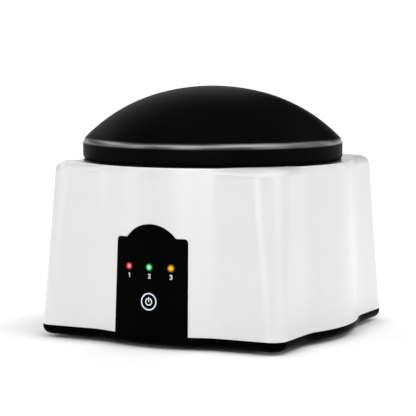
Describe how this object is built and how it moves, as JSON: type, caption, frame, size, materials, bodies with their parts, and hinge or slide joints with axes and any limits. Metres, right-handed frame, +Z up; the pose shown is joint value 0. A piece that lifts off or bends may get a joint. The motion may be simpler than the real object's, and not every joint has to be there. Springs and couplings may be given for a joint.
{
  "type": "gel polish remover machine",
  "caption": "Four-lobed white housing with a round steam well under a black lift-off dome, rear finger ports and an arched control panel.",
  "frame": {"origin": "middle of the body's footprint, on the surface the feet stand on", "axes": "+Z up, the control panel faces -Y, the finger ports face +Y"},
  "size_m": [0.15, 0.1504, 0.1279],
  "materials": {
    "white_gloss_plastic": "semi-gloss moulded",
    "black_gloss_plastic": "gloss",
    "black_satin_plastic": "satin",
    "black_matte_plastic": "matte",
    "grey_matte_plastic": "matte",
    "chamber_plastic": "matte, heat resistant",
    "black_rubber": "matte",
    "grey_silicone": "matte",
    "dish_aluminium": "brushed",
    "steel": "brushed",
    "ceramic": "matte",
    "mica": "satin",
    "brass": "polished",
    "board_green": "solder mask",
    "relay_blue": "gloss",
    "clear_light_pipe": "clear",
    "led_red": "lit",
    "led_green": "lit",
    "led_amber": "lit",
    "wire_insulation": "matte"
  },
  "bodies": {
    "housing": {"upper_shell": "white_gloss_plastic", "base_tray": "black_gloss_plastic", "rubber_feet": "black_rubber", "base_screws": "steel", "collar_ring": "black_satin_plastic", "steam_chamber": "chamber_plastic", "heated_dish": "dish_aluminium", "dish_gasket": "grey_silicone", "heater_plate": "ceramic", "mica_sheet": "mica", "heater_strap": "steel", "strap_screws": "steel", "thermostat": "black_matte_plastic", "temperature_sensor": "black_matte_plastic", "finger_sleeve_1": "grey_silicone", "finger_sleeve_2": "grey_silicone", "finger_sleeve_3": "grey_silicone", "finger_sleeve_4": "grey_silicone", "finger_sleeve_5": "grey_silicone", "control_panel": "black_gloss_plastic", "light_pipe_red": "clear_light_pipe", "indicator_led_red": "led_red", "light_pipe_green": "clear_light_pipe", "indicator_led_green": "led_green", "light_pipe_amber": "clear_light_pipe", "indicator_led_amber": "led_amber", "switch_body": "black_matte_plastic", "control_board": "board_green", "board_screws": "steel", "microcontroller": "black_matte_plastic", "heater_relay": "relay_blue", "board_connector": "grey_matte_plastic", "supply_inlet": "black_matte_plastic", "inlet_pin": "brass", "inlet_nut": "steel", "supply_leads": "wire_insulation", "heater_leads": "wire_insulation"},
    "lid": {"lid_dome": "black_satin_plastic", "lid_seal": "grey_silicone"},
    "guard": {"dish_guard": "grey_matte_plastic"},
    "button": {"power_button": "black_gloss_plastic", "switch_plunger": "grey_matte_plastic"}
  },
  "joints": [
    {"name": "lid_lift", "type": "slide", "parent": "housing", "child": "lid", "axis": [0, 0, 1], "range_m": [0, 0.06]},
    {"name": "guard_lift", "type": "slide", "parent": "housing", "child": "guard", "axis": [0, 0, 1], "range_m": [0, 0.03]},
    {"name": "power_button_press", "type": "slide", "parent": "housing", "child": "button", "axis": [0, 0.9991, -0.0426], "range_m": [0, 0.0005], "stiffness_N_per_m": 2000, "springref_m": -0.0004}
  ]
}
